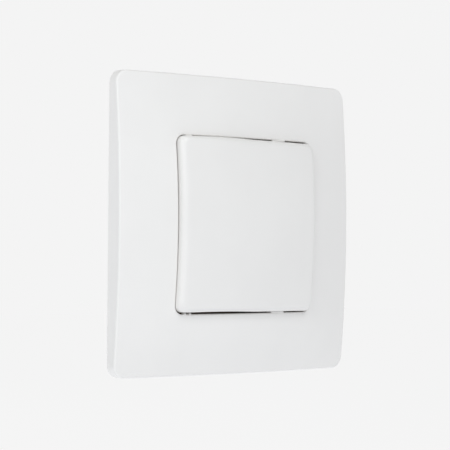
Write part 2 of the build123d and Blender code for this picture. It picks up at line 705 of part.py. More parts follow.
# Tappets, their return springs and the switches under them, one set above and one below
for place, z in (("upper", TAPPET_Z), ("lower", -TAPPET_Z)):
    with BuildPart() as tappet:
        with BuildSketch(turned(0, z)):
            with BuildLine():
                Polyline(
                    (0, tappet_top),
                    (0, tappet_bottom),
                    (TAPPET_STEM / 2, tappet_bottom),
                    (TAPPET_STEM / 2 + TAPPET_BARB, tappet_bottom + TAPPET_BARB),
                    (TAPPET_STEM / 2 + TAPPET_BARB, tappet_bottom + TAPPET_BARB_HEIGHT),
                    (TAPPET_STEM / 2, tappet_bottom + TAPPET_BARB_HEIGHT),
                    (TAPPET_STEM / 2, tappet_head_back),
                    (TAPPET_HEAD / 2, tappet_head_back),
                    (TAPPET_HEAD / 2, tappet_top - TAPPET_CROWN),
                )
                crown_radius = (TAPPET_HEAD**2 / 4 + TAPPET_CROWN**2) / (2 * TAPPET_CROWN)
                RadiusArc((TAPPET_HEAD / 2, tappet_top - TAPPET_CROWN), (0, tappet_top), -crown_radius)
            make_face()
        revolve(axis=Axis((0, 0, z), FRONT))
        with BuildSketch(front(tappet_bottom)):
            with Locations((0, z)):
                Rectangle(TAPPET_SLOT, TAPPET_HEAD)
        extrude(amount=TAPPET_SLOT_DEPTH, mode=Mode.SUBTRACT)
    write(tappet, f"{place}_tappet")

    with BuildPart() as return_spring:
        with BuildLine() as coil:
            coil_start = spring_seat + SPRING_WIRE / 2 + SPRING_END_GAP
            coil_height = tappet_head_back - spring_seat - SPRING_WIRE - 2 * SPRING_END_GAP
            Helix(
                pitch=coil_height / SPRING_TURNS,
                height=coil_height,
                radius=(SPRING_DIAMETER - SPRING_WIRE) / 2,
                center=(0, -coil_start, z),
                direction=FRONT,
            )
        with BuildSketch(Plane(origin=coil.line @ 0, z_dir=coil.line % 0)):
            Circle(SPRING_WIRE / 2)
        sweep(path=coil.line, is_frenet=True)
    write(return_spring, f"{place}_return_spring")

    with BuildPart() as tact:
        tact_switch(0, z)
    write(tact, f"{place}_tact_switch")

# Learn button and its switch
with BuildPart() as learn_button:
    with BuildSketch(turned(LEARN_X, LEARN_Z)):
        with BuildLine():
            Polyline(
                (0, learn_bottom),
                (LEARN_FOOT / 2, learn_bottom),
                (LEARN_FOOT / 2, learn_flange_back),
                (LEARN_FLANGE / 2, learn_flange_back),
                (LEARN_FLANGE / 2, learn_flange_front),
                (LEARN_BUTTON / 2, learn_flange_front),
                (LEARN_BUTTON / 2, learn_top - LEARN_CHAMFER),
                (LEARN_BUTTON / 2 - LEARN_CHAMFER, learn_top),
                (0, learn_top),
                close=True,
            )
        make_face()
    revolve(axis=Axis((LEARN_X, 0, LEARN_Z), FRONT))
write(learn_button, "learn_button")

with BuildPart() as learn_switch:
    tact_switch(LEARN_X, LEARN_Z)
write(learn_switch, "learn_switch")

# Radio module with its chip, under a metal can
with BuildPart() as radio_module:
    block(MODULE_X, MODULE_Z, board_front, MODULE_WIDTH, MODULE_LENGTH, MODULE_THICKNESS)
write(radio_module, "radio_module")

with BuildPart() as radio_chip:
    block(MODULE_X, MODULE_Z, module_front, CHIP_SIDE, CHIP_SIDE, CHIP_HEIGHT)
write(radio_chip, "radio_chip")

with BuildPart() as radio_shield:
    shield_width = MODULE_WIDTH - 2 * SHIELD_MARGIN
    shield_length = MODULE_LENGTH - 2 * SHIELD_END_MARGIN
    with BuildSketch(front(module_front)):
        with Locations((MODULE_X, MODULE_Z)):
            RectangleRounded(shield_width, shield_length, SHIELD_EDGE)
    extrude(amount=SHIELD_HEIGHT)
    fillet(front_edges(radio_shield)[0], radius=SHIELD_SHEET)
    with BuildSketch(front(module_front)):
        with Locations((MODULE_X, MODULE_Z)):
            Rectangle(shield_width - 2 * SHIELD_SHEET, shield_length - 2 * SHIELD_SHEET)
    extrude(amount=SHIELD_HEIGHT - SHIELD_SHEET, mode=Mode.SUBTRACT)
write(radio_shield, "radio_shield")

# Small parts on the board
with BuildPart() as chip_antenna:
    block(ANTENNA_X, ANTENNA_Z, board_front, ANTENNA_LENGTH, ANTENNA_WIDTH, ANTENNA_HEIGHT)
write(chip_antenna, "chip_antenna")

with BuildPart() as crystal:
    block(CRYSTAL_X, CRYSTAL_Z, board_front, CRYSTAL_LENGTH, CRYSTAL_WIDTH, CRYSTAL_HEIGHT)
write(crystal, "crystal")

with BuildPart() as capacitors:
    for i in range(CAPACITOR_COUNT):
        x = CAPACITOR_X + (i - (CAPACITOR_COUNT - 1) / 2) * CAPACITOR_PITCH
        block(x, CAPACITOR_Z, board_front, CAPACITOR_WIDTH, CAPACITOR_LENGTH, CAPACITOR_HEIGHT)
write(capacitors, "capacitors")

with BuildPart() as resistors:
    for i in range(RESISTOR_COUNT):
        x = RESISTOR_X + (i - (RESISTOR_COUNT - 1) / 2) * RESISTOR_PITCH
        block(x, RESISTOR_Z, board_front, RESISTOR_WIDTH, RESISTOR_LENGTH, RESISTOR_HEIGHT)
write(resistors, "resistors")

with BuildPart() as status_led:
    block(LED_X, LED_Z, board_front, LED_WIDTH, LED_LENGTH, LED_HEIGHT)
    with BuildSketch(front(board_front)):
        with Locations((LED_X, LED_Z)):
            Circle(LED_LENS / 2)
    extrude(amount=LED_HEIGHT + LED_LENS_HEIGHT)
write(status_led, "status_led")
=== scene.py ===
import json
import logging
import math
from collections.abc import Callable
from dataclasses import dataclass
from enum import Enum
from typing import Any, Protocol

import bmesh
import bpy
from mathutils import Matrix, Vector

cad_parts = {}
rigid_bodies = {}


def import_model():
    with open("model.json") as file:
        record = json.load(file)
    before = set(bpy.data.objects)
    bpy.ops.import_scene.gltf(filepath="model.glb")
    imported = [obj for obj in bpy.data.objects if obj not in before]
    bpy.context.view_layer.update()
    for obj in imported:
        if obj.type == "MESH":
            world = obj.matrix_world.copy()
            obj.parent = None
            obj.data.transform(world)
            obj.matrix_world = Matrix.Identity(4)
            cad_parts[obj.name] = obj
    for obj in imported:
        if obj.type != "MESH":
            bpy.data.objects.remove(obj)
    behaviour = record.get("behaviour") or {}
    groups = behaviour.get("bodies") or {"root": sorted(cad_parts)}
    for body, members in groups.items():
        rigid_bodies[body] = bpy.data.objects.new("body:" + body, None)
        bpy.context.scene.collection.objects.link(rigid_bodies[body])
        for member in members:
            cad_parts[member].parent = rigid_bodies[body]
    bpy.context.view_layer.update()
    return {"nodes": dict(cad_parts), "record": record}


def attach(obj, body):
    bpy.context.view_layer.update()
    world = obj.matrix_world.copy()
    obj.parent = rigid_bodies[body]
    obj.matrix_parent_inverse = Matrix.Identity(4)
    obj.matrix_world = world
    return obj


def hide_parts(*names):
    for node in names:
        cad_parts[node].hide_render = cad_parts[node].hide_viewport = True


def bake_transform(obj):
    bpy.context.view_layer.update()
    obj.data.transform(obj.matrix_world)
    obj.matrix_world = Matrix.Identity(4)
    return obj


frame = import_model()

# Pieces are modelled in millimetres and brought to the frame's metres when they are finished.
MM = 0.001
# Points closer than this, in millimetres, count as one.
NEAR = 1e-3
# Faces that turn by more than this angle, in radians, meet in a corner.
CORNER_ANGLE = 1.0
# Steps that a round corner or edge is drawn in.
ROUND_STEPS = 8

Tone = tuple[float, float, float]
Surface = Callable[[float, float], float]
log = logging.getLogger("switch")


class Grain(Enum):
    """Factors along X, Y and Z that narrow fine marks, so that they run along the axis left at 1."""

    ACROSS = (1.0, 12.0, 12.0)
    UPRIGHT = (12.0, 12.0, 1.0)
    EVEN = (1.0, 1.0, 1.0)


class CellMeasure(Enum):
    """What the distance in a pattern of cells is measured to."""

    CENTRE = "F1"
    WALL = "DISTANCE_TO_EDGE"


class Element(Enum):
    """Kinds of mesh element, with the name that a mesh lists them under."""

    EDGE = "edges"
    FACE = "faces"


class Merge(Enum):
    """Ways to work a closed shape into the rest of a mesh."""

    JOIN = "UNION"
    CUT = "DIFFERENCE"


class ShaderGraph:
    """Builder for the node tree of one procedural material.

    Attributes:
        material: The material that the nodes belong to.
        tree: Its node tree.
        output: The tree's output node.
        place: Socket with the Object coordinates, in metres.
    """

    def __init__(self, name: str) -> None:
        """Starts an empty tree with an output and a coordinate source.

        Args:
            name: Name of the new material.
        """
        self.material = bpy.data.materials.new(name)
        self.material.use_nodes = True
        self.tree = self.material.node_tree
        self.tree.nodes.clear()
        self.output = self.tree.nodes.new("ShaderNodeOutputMaterial")
        self.place = self.tree.nodes.new("ShaderNodeTexCoord").outputs["Object"]

    def add(self, kind: str, **settings: object) -> bpy.types.Node:
        """Adds a node and sets its own properties.

        Args:
            kind: Node type, such as ShaderNodeBump.
            **settings: Properties of the node.

        Returns:
            The new node.
        """
        node = self.tree.nodes.new(kind)
        for key, value in settings.items():
            setattr(node, key, value)
        return node

    def link(self, source: bpy.types.NodeSocket, target: bpy.types.NodeSocket) -> None:
        """Joins an output socket to an input socket."""
        self.tree.links.new(source, target)

    def stretched(self, grain: Grain) -> bpy.types.NodeSocket:
        """Coordinates scaled by a factor along each axis.

        Args:
            grain: Which way marks are drawn out.

        Returns:
            The scaled coordinates.
        """
        mapping = self.add("ShaderNodeMapping")
        mapping.inputs["Scale"].default_value = grain.value
        self.link(self.place, mapping.inputs["Vector"])
        return mapping.outputs["Vector"]

    def noise(self, size: float, detail: float = 2.0, grain: Grain = Grain.EVEN) -> bpy.types.NodeSocket:
        """Noise whose marks are about a given size.

        Args:
            size: Length of one mark, in millimetres.
            detail: Octaves of finer noise.
            grain: Which way marks are drawn out.

        Returns:
            The noise value, about 0 to 1.
        """
        node = self.add("ShaderNodeTexNoise")
        node.inputs["Scale"].default_value = 1.0 / (size * MM)
        node.inputs["Detail"].default_value = detail
        self.link(self.stretched(grain), node.inputs["Vector"])
        return node.outputs["Fac"]

    def cells(self, size: float, measure: CellMeasure) -> bpy.types.NodeSocket:
        """Distance in a pattern of cells.

        Args:
            size: Size of one cell, in millimetres.
            measure: What the distance is measured to.

        Returns:
            The distance, in cells.
        """
        node = self.add("ShaderNodeTexVoronoi", feature=measure.value)
        node.inputs["Scale"].default_value = 1.0 / (size * MM)
        self.link(self.place, node.inputs["Vector"])
        return node.outputs["Distance"]

    def ramp(
        self,
        source: bpy.types.NodeSocket,
        low: Tone,
        high: Tone,
        ends: tuple[float, float] = (0.3, 0.7),
    ) -> bpy.types.NodeSocket:
        """Colour between two tones, driven by a value.

        Args:
            source: Value from 0 to 1.
            low: Linear colour at the low end.
            high: Linear colour at the high end.
            ends: Values at which the two ends are reached.

        Returns:
            The colour.
        """
        node = self.add("ShaderNodeValToRGB")
        for stop, place, tone in zip(node.color_ramp.elements, ends, (low, high)):
            stop.position = place
            stop.color = (*tone, 1.0)
        self.link(source, node.inputs["Fac"])
        return node.outputs["Color"]

    def spread(self, source: bpy.types.NodeSocket, low: float, high: float) -> bpy.types.NodeSocket:
        """Maps a value from 0 to 1 to a range.

        Args:
            source: Value from 0 to 1.
            low: Result at 0.
            high: Result at 1.

        Returns:
            The mapped value.
        """
        node = self.add("ShaderNodeMapRange")
        node.inputs["To Min"].default_value = low
        node.inputs["To Max"].default_value = high
        self.link(source, node.inputs["Value"])
        return node.outputs["Result"]

    def about(self, source: bpy.types.NodeSocket, middle: float, reach: float) -> bpy.types.NodeSocket:
        """Maps a value from 0 to 1 to a range that reaches as far on both sides of its middle."""
        return self.spread(source, middle - reach, middle + reach)

    def bump(self, height: bpy.types.NodeSocket, depth: float) -> bpy.types.NodeSocket:
        """Surface normal disturbed by a height.

        Args:
            height: Height from 0 to 1.
            depth: Depth that a height of 1 stands for, in millimetres.

        Returns:
            The normal.
        """
        node = self.add("ShaderNodeBump")
        node.inputs["Distance"].default_value = depth * MM
        self.link(height, node.inputs["Height"])
        return node.outputs["Normal"]

    def principled(self, **sockets: object) -> bpy.types.Material:
        """Ends the tree in one principled shader.

        Args:
            **sockets: Values or output sockets by input name, with underscores for spaces.

        Returns:
            The finished material.
        """
        shader = self.add("ShaderNodeBsdfPrincipled")
        for name, value in sockets.items():
            target = shader.inputs[name.replace("_", " ")]
            if isinstance(value, bpy.types.NodeSocket):
                self.link(value, target)
            else:
                target.default_value = value
        self.link(shader.outputs["BSDF"], self.output.inputs["Surface"])
        return self.material


def shaded(tone: Tone, factor: float) -> Tone:
    """A linear tone made lighter or darker."""
    return tuple(channel * factor for channel in tone)


def grey(level: float) -> Tone:
    """A linear grey."""
    return (level, level, level)


class Finish(Protocol):
    """Any surface that can be made into a material."""

    def make(self, name: str) -> bpy.types.Material:
        """Builds the material under a name."""


@dataclass(frozen=True)
class MouldedPlastic:
    """Injection-moulded plastic with a fine eroded grain.

    Attributes:
        tone: Linear colour.
        roughness: Middle roughness.
        roughness_reach: How far the roughness goes to either side of its middle.
        grain: Size of the eroded grain, in millimetres.
        grain_depth: Depth of the grain, in millimetres.
        drift: Share by which the tone drifts over the surface.
        drift_size: Size of one patch of the drift, in millimetres.
    """

    tone: Tone
    roughness: float = 0.42
    roughness_reach: float = 0.05
    grain: float = 0.35
    grain_depth: float = 0.004
    drift: float = 0.012
    drift_size: float = 18.0

    def make(self, name: str) -> bpy.types.Material:
        """Builds the material.

        Args:
            name: Name of the material.

        Returns:
            The material.
        """
        graph = ShaderGraph(name)
        patches = graph.noise(self.drift_size, detail=3.0)
        grain = graph.noise(self.grain, detail=3.0)
        dark, light = (shaded(self.tone, 1 + side * self.drift) for side in (-1, 1))
        return graph.principled(
            Base_Color=graph.ramp(patches, dark, light),
            Roughness=graph.about(grain, self.roughness, self.roughness_reach),
            Normal=graph.bump(grain, self.grain_depth),
        )


@dataclass(frozen=True)
class PlatedMetal:
    """Plated, drawn or rolled metal with fine marks.

    Attributes:
        tone: Linear colour.
        roughness: Middle roughness.
        roughness_reach: How far the roughness goes to either side of its middle.
        grain: Direction of the marks.
        mark: Length of one mark, in millimetres.
        mark_depth: Depth of the marks, in millimetres.
        mark_shade: Share of the tone that is left in the marks.
    """

    tone: Tone
    roughness: float = 0.3
    roughness_reach: float = 0.1
    grain: Grain = Grain.EVEN
    mark: float = 0.5
    mark_depth: float = 0.003
    mark_shade: float = 0.88

    def make(self, name: str) -> bpy.types.Material:
        """Builds the material.

        Args:
            name: Name of the material.

        Returns:
            The material.
        """
        graph = ShaderGraph(name)
        marks = graph.noise(self.mark, detail=4.0, grain=self.grain)
        return graph.principled(
            Base_Color=graph.ramp(marks, shaded(self.tone, self.mark_shade), self.tone),
            Metallic=1.0,
            Roughness=graph.about(marks, self.roughness, self.roughness_reach),
            Normal=graph.bump(marks, self.mark_depth),
        )


@dataclass(frozen=True)
class SpeckledBody:
    """Fired, glazed or filled body with fine specks.

    Attributes:
        tone: Linear colour.
        speck: Linear colour of the specks.
        roughness: Middle roughness.
        roughness_reach: How far the roughness goes to either side of its middle.
        speck_size: Size of one speck, in millimetres.
        speck_depth: Depth of the specks, in millimetres.
    """

    tone: Tone
    speck: Tone
    roughness: float = 0.4
    roughness_reach: float = 0.08
    speck_size: float = 0.3
    speck_depth: float = 0.006

    def make(self, name: str) -> bpy.types.Material:
        """Builds the material.

        Args:
            name: Name of the material.

        Returns:
            The material.
        """
        graph = ShaderGraph(name)
        specks = graph.noise(self.speck_size, detail=4.0)
        return graph.principled(
            Base_Color=graph.ramp(specks, self.tone, self.speck),
            Roughness=graph.about(specks, self.roughness, self.roughness_reach),
            Normal=graph.bump(specks, self.speck_depth),
        )


@dataclass(frozen=True)
class SolderResist:
    """Lacquered circuit board with copper tracks that show through.

    Attributes:
        tone: Linear colour of the lacquer over bare board.
        track: Linear colour of the lacquer over copper.
        pitch: Spacing of the tracks, in millimetres.
        track_fade: Distances from a track's middle, in pitches, between which it fades out.
        track_depth: Depth of the relief, in millimetres.
        weave: Size of the weave in the board, in millimetres.
        roughness: Roughness in the weave's hollows and on its threads.
    """

    tone: Tone
    track: Tone
    pitch: float = 2.2
    track_fade: tuple[float, float] = (0.08, 0.12)
    track_depth: float = 0.01
    weave: float = 0.4
    roughness: tuple[float, float] = (0.25, 0.4)

    def make(self, name: str) -> bpy.types.Material:
        """Builds the material.

        Args:
            name: Name of the material.

        Returns:
            The material.
        """
        graph = ShaderGraph(name)
        tracks = graph.cells(self.pitch, CellMeasure.WALL)
        weave = graph.noise(self.weave)
        return graph.principled(
            Base_Color=graph.ramp(tracks, self.track, self.tone, ends=self.track_fade),
            Roughness=graph.spread(weave, *self.roughness),
            Normal=graph.bump(tracks, self.track_depth),
        )


@dataclass(frozen=True)
class CellFoam:
    """Closed-cell foam.

    Attributes:
        tone: Linear colour of the cell walls.
        pit: Linear colour inside the cells, darker than the walls: painted shade in the pits.
        cell: Size of one cell, in millimetres.
        pit_fade: Distances from a cell's centre, in cells, between which it turns into wall.
        pit_depth: Depth of the cells, in millimetres.
        roughness: Roughness inside the cells and on their walls.
    """

    tone: Tone
    pit: Tone
    cell: float = 0.35
    pit_fade: tuple[float, float] = (0.1, 0.6)
    pit_depth: float = 0.08
    roughness: tuple[float, float] = (0.95, 0.8)

    def make(self, name: str) -> bpy.types.Material:
        """Builds the material.

        Args:
            name: Name of the material.

        Returns:
            The material.
        """
        graph = ShaderGraph(name)
        pits = graph.cells(self.cell, CellMeasure.CENTRE)
        return graph.principled(
            # The cells' insides are painted darker than their walls: painted shade in the pits.
            Base_Color=graph.ramp(pits, self.pit, self.tone, ends=self.pit_fade),
            Roughness=graph.spread(pits, *self.roughness),
            Normal=graph.bump(pits, self.pit_depth),
        )


@dataclass(frozen=True)
class LinerPaper:
    """Smooth release paper with faint fibres.

    Attributes:
        tone: Linear colour.
        fibre: Linear colour of the fibres.
        fibre_length: Length of one fibre, in millimetres.
        cockle: Size of one cockle in the sheet, in millimetres.
        cockle_depth: Depth of the cockles, in millimetres.
        roughness: Roughness on the fibres and between them.
    """

    tone: Tone = (0.72, 0.69, 0.58)
    fibre: Tone = (0.66, 0.63, 0.52)
    fibre_length: float = 0.8
    cockle: float = 6.0
    cockle_depth: float = 0.05
    roughness: tuple[float, float] = (0.35, 0.5)

    def make(self, name: str) -> bpy.types.Material:
        """Builds the material.

        Args:
            name: Name of the material.

        Returns:
            The material.
        """
        graph = ShaderGraph(name)
        fibres = graph.noise(self.fibre_length, detail=5.0, grain=Grain.UPRIGHT)
        cockles = graph.noise(self.cockle)
        return graph.principled(
            Base_Color=graph.ramp(fibres, self.fibre, self.tone),
            Roughness=graph.spread(fibres, *self.roughness),
            Normal=graph.bump(cockles, self.cockle_depth),
        )


@dataclass(frozen=True)
class ClearResin:
    """Cast resin with faint streaks.

    Attributes:
        tone: Linear colour.
        streak: Size of one streak, in millimetres.
        streak_shade: Share of the tone that is left in the streaks.
        roughness: Roughness in the streaks and between them.
        clearness: Share of the light that passes through.
        refraction: Index of refraction.
    """

    tone: Tone
    streak: float = 0.6
    streak_shade: float = 0.92
    roughness: tuple[float, float] = (0.08, 0.18)
    clearness: float = 0.7
    refraction: float = 1.52

    def make(self, name: str) -> bpy.types.Material:
        """Builds the material.

        Args:
            name: Name of the material.

        Returns:
            The material.
        """
        graph = ShaderGraph(name)
        streaks = graph.noise(self.streak)
        return graph.principled(
            Base_Color=graph.ramp(streaks, shaded(self.tone, self.streak_shade), self.tone),
            Roughness=graph.spread(streaks, *self.roughness),
            Transmission_Weight=self.clearness,
            IOR=self.refraction,
        )


# Finish of each material slot.
FINISHES: dict[str, Finish] = {
    "plate_white": MouldedPlastic((0.80, 0.78, 0.75)),
    # The rocker's tone is the plate's white made a little darker, though both are one plastic: painted
    # shade.
    "rocker_white": MouldedPlastic((0.785, 0.765, 0.735)),
    # The carrier's dark warm brown is painted shade: it darkens and warms the gap round the rocker, where
    # the shadow falls.
    "carrier_dark": MouldedPlastic((0.20, 0.10, 0.05), roughness=0.5),
    "base_grey": MouldedPlastic((0.62, 0.615, 0.60), roughness=0.55, grain=0.6, grain_depth=0.012),
    # The foam's darker second tone is painted shade inside its cells.
    "pad_foam": CellFoam((0.16, 0.165, 0.17), (0.06, 0.063, 0.065)),
    "screw_steel": PlatedMetal((0.62, 0.63, 0.65)),
    "board_green": SolderResist((0.012, 0.10, 0.035), (0.03, 0.19, 0.075)),
    "cell_steel": PlatedMetal((0.70, 0.70, 0.70), roughness=0.25, grain=Grain.ACROSS),
    "contact_nickel": PlatedMetal((0.66, 0.63, 0.56), grain=Grain.UPRIGHT),
    "spring_steel": PlatedMetal((0.55, 0.56, 0.58)),
    "tappet_natural": MouldedPlastic((0.76, 0.75, 0.70), roughness=0.3),
    "switch_black": MouldedPlastic((0.02, 0.02, 0.022), roughness=0.5),
    "button_grey": MouldedPlastic((0.16, 0.17, 0.18), roughness=0.45),
    "module_black": SolderResist((0.012, 0.016, 0.03), (0.03, 0.035, 0.06), pitch=1.2),
    "chip_black": MouldedPlastic((0.02, 0.02, 0.02), roughness=0.6),
    "can_tin": PlatedMetal((0.68, 0.68, 0.66), grain=Grain.UPRIGHT),
    "antenna_ceramic": SpeckledBody((0.70, 0.68, 0.62), (0.78, 0.76, 0.70)),
    "crystal_can": PlatedMetal((0.72, 0.70, 0.64)),
    "capacitor_ceramic": SpeckledBody((0.38, 0.24, 0.13), (0.46, 0.31, 0.18)),
    "resistor_black": SpeckledBody((0.02, 0.02, 0.02), (0.04, 0.04, 0.045), roughness=0.3),
    "led_resin": ClearResin((0.85, 0.87, 0.80)),
}


def dress(piece: bpy.types.Object, finish: Finish, name: str) -> None:
    """Gives a piece a finish, as a material with its own name."""
    piece.data.materials.append(finish.make(name))


class Workpiece:
    """One new mesh, shaped in edit mode with the modelling operators, in millimetres.

    Attributes:
        piece: The object being shaped.
    """

    def __init__(self, name: str) -> None:
        """Takes over the primitive that was just added and opens it for editing.

        Args:
            name: Name of the piece.
        """
        self.piece = bpy.context.object
        self.piece.name = name
        self.piece.data.name = name
        bpy.ops.object.transform_apply(location=True, rotation=True, scale=True)
        bpy.ops.object.mode_set(mode="EDIT")

    def pick(self, kind: Element, test: Callable[[Any], bool]) -> None:
        """Selects the elements that pass a test, and nothing else.

        Args:
            kind: Kind of element.
            test: Test on one element.
        """
        bpy.ops.mesh.select_mode(type=kind.name)
        self.pick_none()
        mesh = bmesh.from_edit_mesh(self.piece.data)
        for element in getattr(mesh, kind.value):
            if test(element):
                element.select_set(True)
        mesh.select_flush_mode()
        bmesh.update_edit_mesh(self.piece.data)

    def pick_all(self) -> None:
        """Selects the whole mesh."""
        bpy.ops.mesh.select_all(action="SELECT")

    def pick_none(self) -> None:
        """Clears the selection."""
        bpy.ops.mesh.select_all(action="DESELECT")

    def push(self, forward: float) -> None:
        """Extrudes the selection towards the room by a distance."""
        bpy.ops.mesh.extrude_region_move(TRANSFORM_OT_translate={"value": (0, -forward, 0)})

    def scale_by(self, across: float, upright: float) -> None:
        """Scales the selection along X and Z about the middle, by two factors."""
        bpy.ops.transform.resize(value=(across, 1, upright), center_override=(0, 0, 0))

    def raise_to(self, level: float, height: Surface) -> None:
        """Moves the vertices at one height to heights that follow a surface.

        Args:
            level: Height of the vertices to move.
            height: Height of the surface at X and Z.
        """
        mesh = bmesh.from_edit_mesh(self.piece.data)
        for vertex in mesh.verts:
            if abs(vertex.co.y + level) < NEAR:
                vertex.co.y = -height(vertex.co.x, vertex.co.z)
        bmesh.update_edit_mesh(self.piece.data)

    def work_in(self, how: Merge) -> None:
        """Joins the closed shape that was just added to the rest of the mesh, or cuts it out."""
        bpy.ops.mesh.select_linked()
        bpy.ops.mesh.intersect_boolean(operation=how.value, solver="EXACT")

    def done(self, sharp_deg: float = 35.0) -> bpy.types.Object:
        """Clears slivers, turns faces outwards, brings the mesh to metres and smooths its shading.

        Args:
            sharp_deg: Angle above which an edge stays sharp.

        Returns:
            The finished object.
        """
        self.pick_all()
        bpy.ops.mesh.remove_doubles(threshold=NEAR)
        bpy.ops.mesh.dissolve_degenerate(threshold=NEAR)
        bpy.ops.mesh.normals_make_consistent(inside=False)
        bpy.ops.transform.resize(value=(MM, MM, MM), center_override=(0, 0, 0))
        bpy.ops.object.mode_set(mode="OBJECT")
        bpy.ops.object.shade_smooth_by_angle(angle=math.radians(sharp_deg))
        return self.piece


def is_corner(edge: bmesh.types.BMEdge) -> bool:
    """Whether the faces at an edge meet in a corner."""
    return edge.calc_face_angle(0) > CORNER_ANGLE


def rounded_sheet(
    name: str, width: float, height: float, corner: float, level: float, steps: int
) -> Workpiece:
    """Starts a piece as a flat sheet with round corners, parallel to the wall.

    Args:
        name: Name of the piece.
        width: Size along X.
        height: Size along Z.
        corner: Radius of the corners.
        level: Height in front of the wall.
        steps: Cuts along each straight side.

    Returns:
        The piece, with its one face selected.
    """
    bpy.ops.object.select_all(action="DESELECT")
    bpy.ops.mesh.primitive_plane_add(size=1, rotation=(math.pi / 2, 0, 0), location=(0, -level, 0))
    bpy.context.object.scale = (width, height, 1)
    work = Workpiece(name)
    work.pick_all()
    bpy.ops.mesh.bevel(affect="VERTICES", offset=corner, segments=ROUND_STEPS, profile=0.5)
    work.pick(Element.EDGE, lambda edge: edge.calc_length() > corner)
    bpy.ops.mesh.subdivide(number_cuts=steps)
    work.pick(Element.FACE, lambda face: True)
    return work


def copy_to(piece: bpy.types.Object, name: str, shift: Vector) -> bpy.types.Object:
    """Copies a finished piece with its own mesh.

    Args:
        piece: The finished piece.
        name: Name of the copy.
        shift: Move from the piece to the copy, in metres.

    Returns:
        The copy.
    """
    twin = piece.copy()
    twin.data = piece.data.copy()
    twin.name = name
    twin.data.name = name
    twin.data.transform(Matrix.Translation(shift))
    bpy.context.collection.objects.link(twin)
    return twin


def spread_out(piece: bpy.types.Object, name: str, spread: tuple[float, float]) -> list[bpy.types.Object]:
    """Sets four copies of a finished piece out about the middle, in its stead.

    Args:
        piece: The finished piece, at the middle.
        name: Name that the copies share, before a number.
        spread: Distances from the middle, in millimetres, along X and Z.

    Returns:
        The four copies.
    """
    places = [Vector((x * spread[0], 0, z * spread[1])) * MM for x in (-1, 1) for z in (-1, 1)]
    pieces = [copy_to(piece, f"{name}_{i}", place) for i, place in enumerate(places, start=1)]
    bpy.data.objects.remove(piece)
    return pieces


@dataclass(frozen=True)
class PillowForm:
    """The plate's pillow-shaped front, which the rocker's crown follows, in millimetres.

    Attributes:
        span: Side of the square plate.
        corner_height: Height at the plate's corners.
        rise_across: Rise towards the upright middle line.
        rise_upright: Rise towards the level middle line.
        rise_centre: Further rise at the centre.
    """

    span: float = 82.0
    corner_height: float = 3.0
    rise_across: float = 2.6
    rise_upright: float = 2.2
    rise_centre: float = 3.1

    def height(self, x: float, z: float) -> float:
        """Height of the front.

        Args:
            x: Place along X.
            z: Place along Z.

        Returns:
            The height in front of the wall.
        """
        across = 1 - (2 * x / self.span) ** 2
        upright = 1 - (2 * z / self.span) ** 2
        rise = self.rise_across * across + self.rise_upright * upright
        rise += self.rise_centre * across * upright
        return self.corner_height + rise


